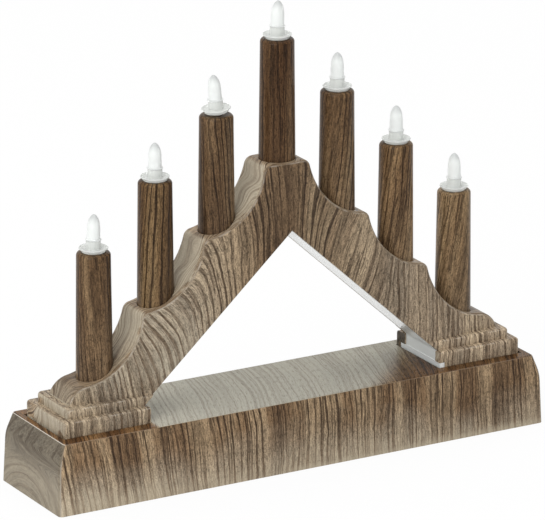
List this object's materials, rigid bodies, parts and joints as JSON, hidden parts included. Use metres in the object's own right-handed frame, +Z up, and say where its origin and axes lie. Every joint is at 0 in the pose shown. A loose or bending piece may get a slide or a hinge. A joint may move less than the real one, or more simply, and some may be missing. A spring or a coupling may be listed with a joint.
{
  "type": "candle arch",
  "caption": "Free-standing candle arch: a plinth carries a hollow inverted-V arch with stepped shoulders and upright candle tubes with small battery-lit flame caps.",
  "frame": {"origin": "middle of the plinth's underside, on the table", "axes": "+X along the plinth, +Y to the back, +Z up"},
  "size_m": [0.22, 0.049, 0.1856],
  "materials": {
    "walnut_print": "satin plastic with a walnut wood-effect print",
    "white_plastic": "smooth white moulded plastic",
    "clear_plastic": "clear moulded plastic",
    "frosted_plastic": "frosted translucent plastic",
    "lamp": "clear lamp resin",
    "wire": "dark wire insulation",
    "cover_plastic": "fine-grained dark brown plastic",
    "switch_plastic": "black plastic",
    "cell_jacket": "plain metal cell jacket",
    "steel": "plated steel",
    "board": "green circuit board",
    "resistor": "pale lacquer"
  },
  "bodies": {
    "arch_body": {"base_housing": "walnut_print", "arch_shell": "walnut_print", "arch_liner": "white_plastic", "wiring_harness": "wire", "base_cover": "cover_plastic", "battery_1": "cell_jacket", "battery_2": "cell_jacket", "contact_spring_1": "steel", "contact_spring_2": "steel", "contact_bridge": "steel", "contact_positive": "steel", "contact_negative": "steel", "switch_body": "switch_plastic", "circuit_board": "board", "board_resistors": "resistor", "arch_screws": "steel", "cover_screws": "steel", "candle_1": "walnut_print", "drip_collar_1": "clear_plastic", "flame_cap_1": "frosted_plastic", "led_1": "lamp", "candle_2": "walnut_print", "drip_collar_2": "clear_plastic", "flame_cap_2": "frosted_plastic", "led_2": "lamp", "candle_3": "walnut_print", "drip_collar_3": "clear_plastic", "flame_cap_3": "frosted_plastic", "led_3": "lamp", "candle_4": "walnut_print", "drip_collar_4": "clear_plastic", "flame_cap_4": "frosted_plastic", "led_4": "lamp", "candle_5": "walnut_print", "drip_collar_5": "clear_plastic", "flame_cap_5": "frosted_plastic", "led_5": "lamp", "candle_6": "walnut_print", "drip_collar_6": "clear_plastic", "flame_cap_6": "frosted_plastic", "led_6": "lamp", "candle_7": "walnut_print", "drip_collar_7": "clear_plastic", "flame_cap_7": "frosted_plastic", "led_7": "lamp"},
    "battery_door": {"battery_door": "cover_plastic"},
    "switch_slider": {"switch_slider": "switch_plastic"}
  },
  "joints": [
    {"name": "battery_door_hinge", "type": "hinge", "parent": "arch_body", "child": "battery_door", "pos_m": [-0.02895, 0, 0.0018], "axis": [0, 1, 0], "range_deg": [0, 60]},
    {"name": "switch_slide", "type": "slide", "parent": "arch_body", "child": "switch_slider", "axis": [1, 0, 0], "range_m": [0, 0.004]}
  ]
}
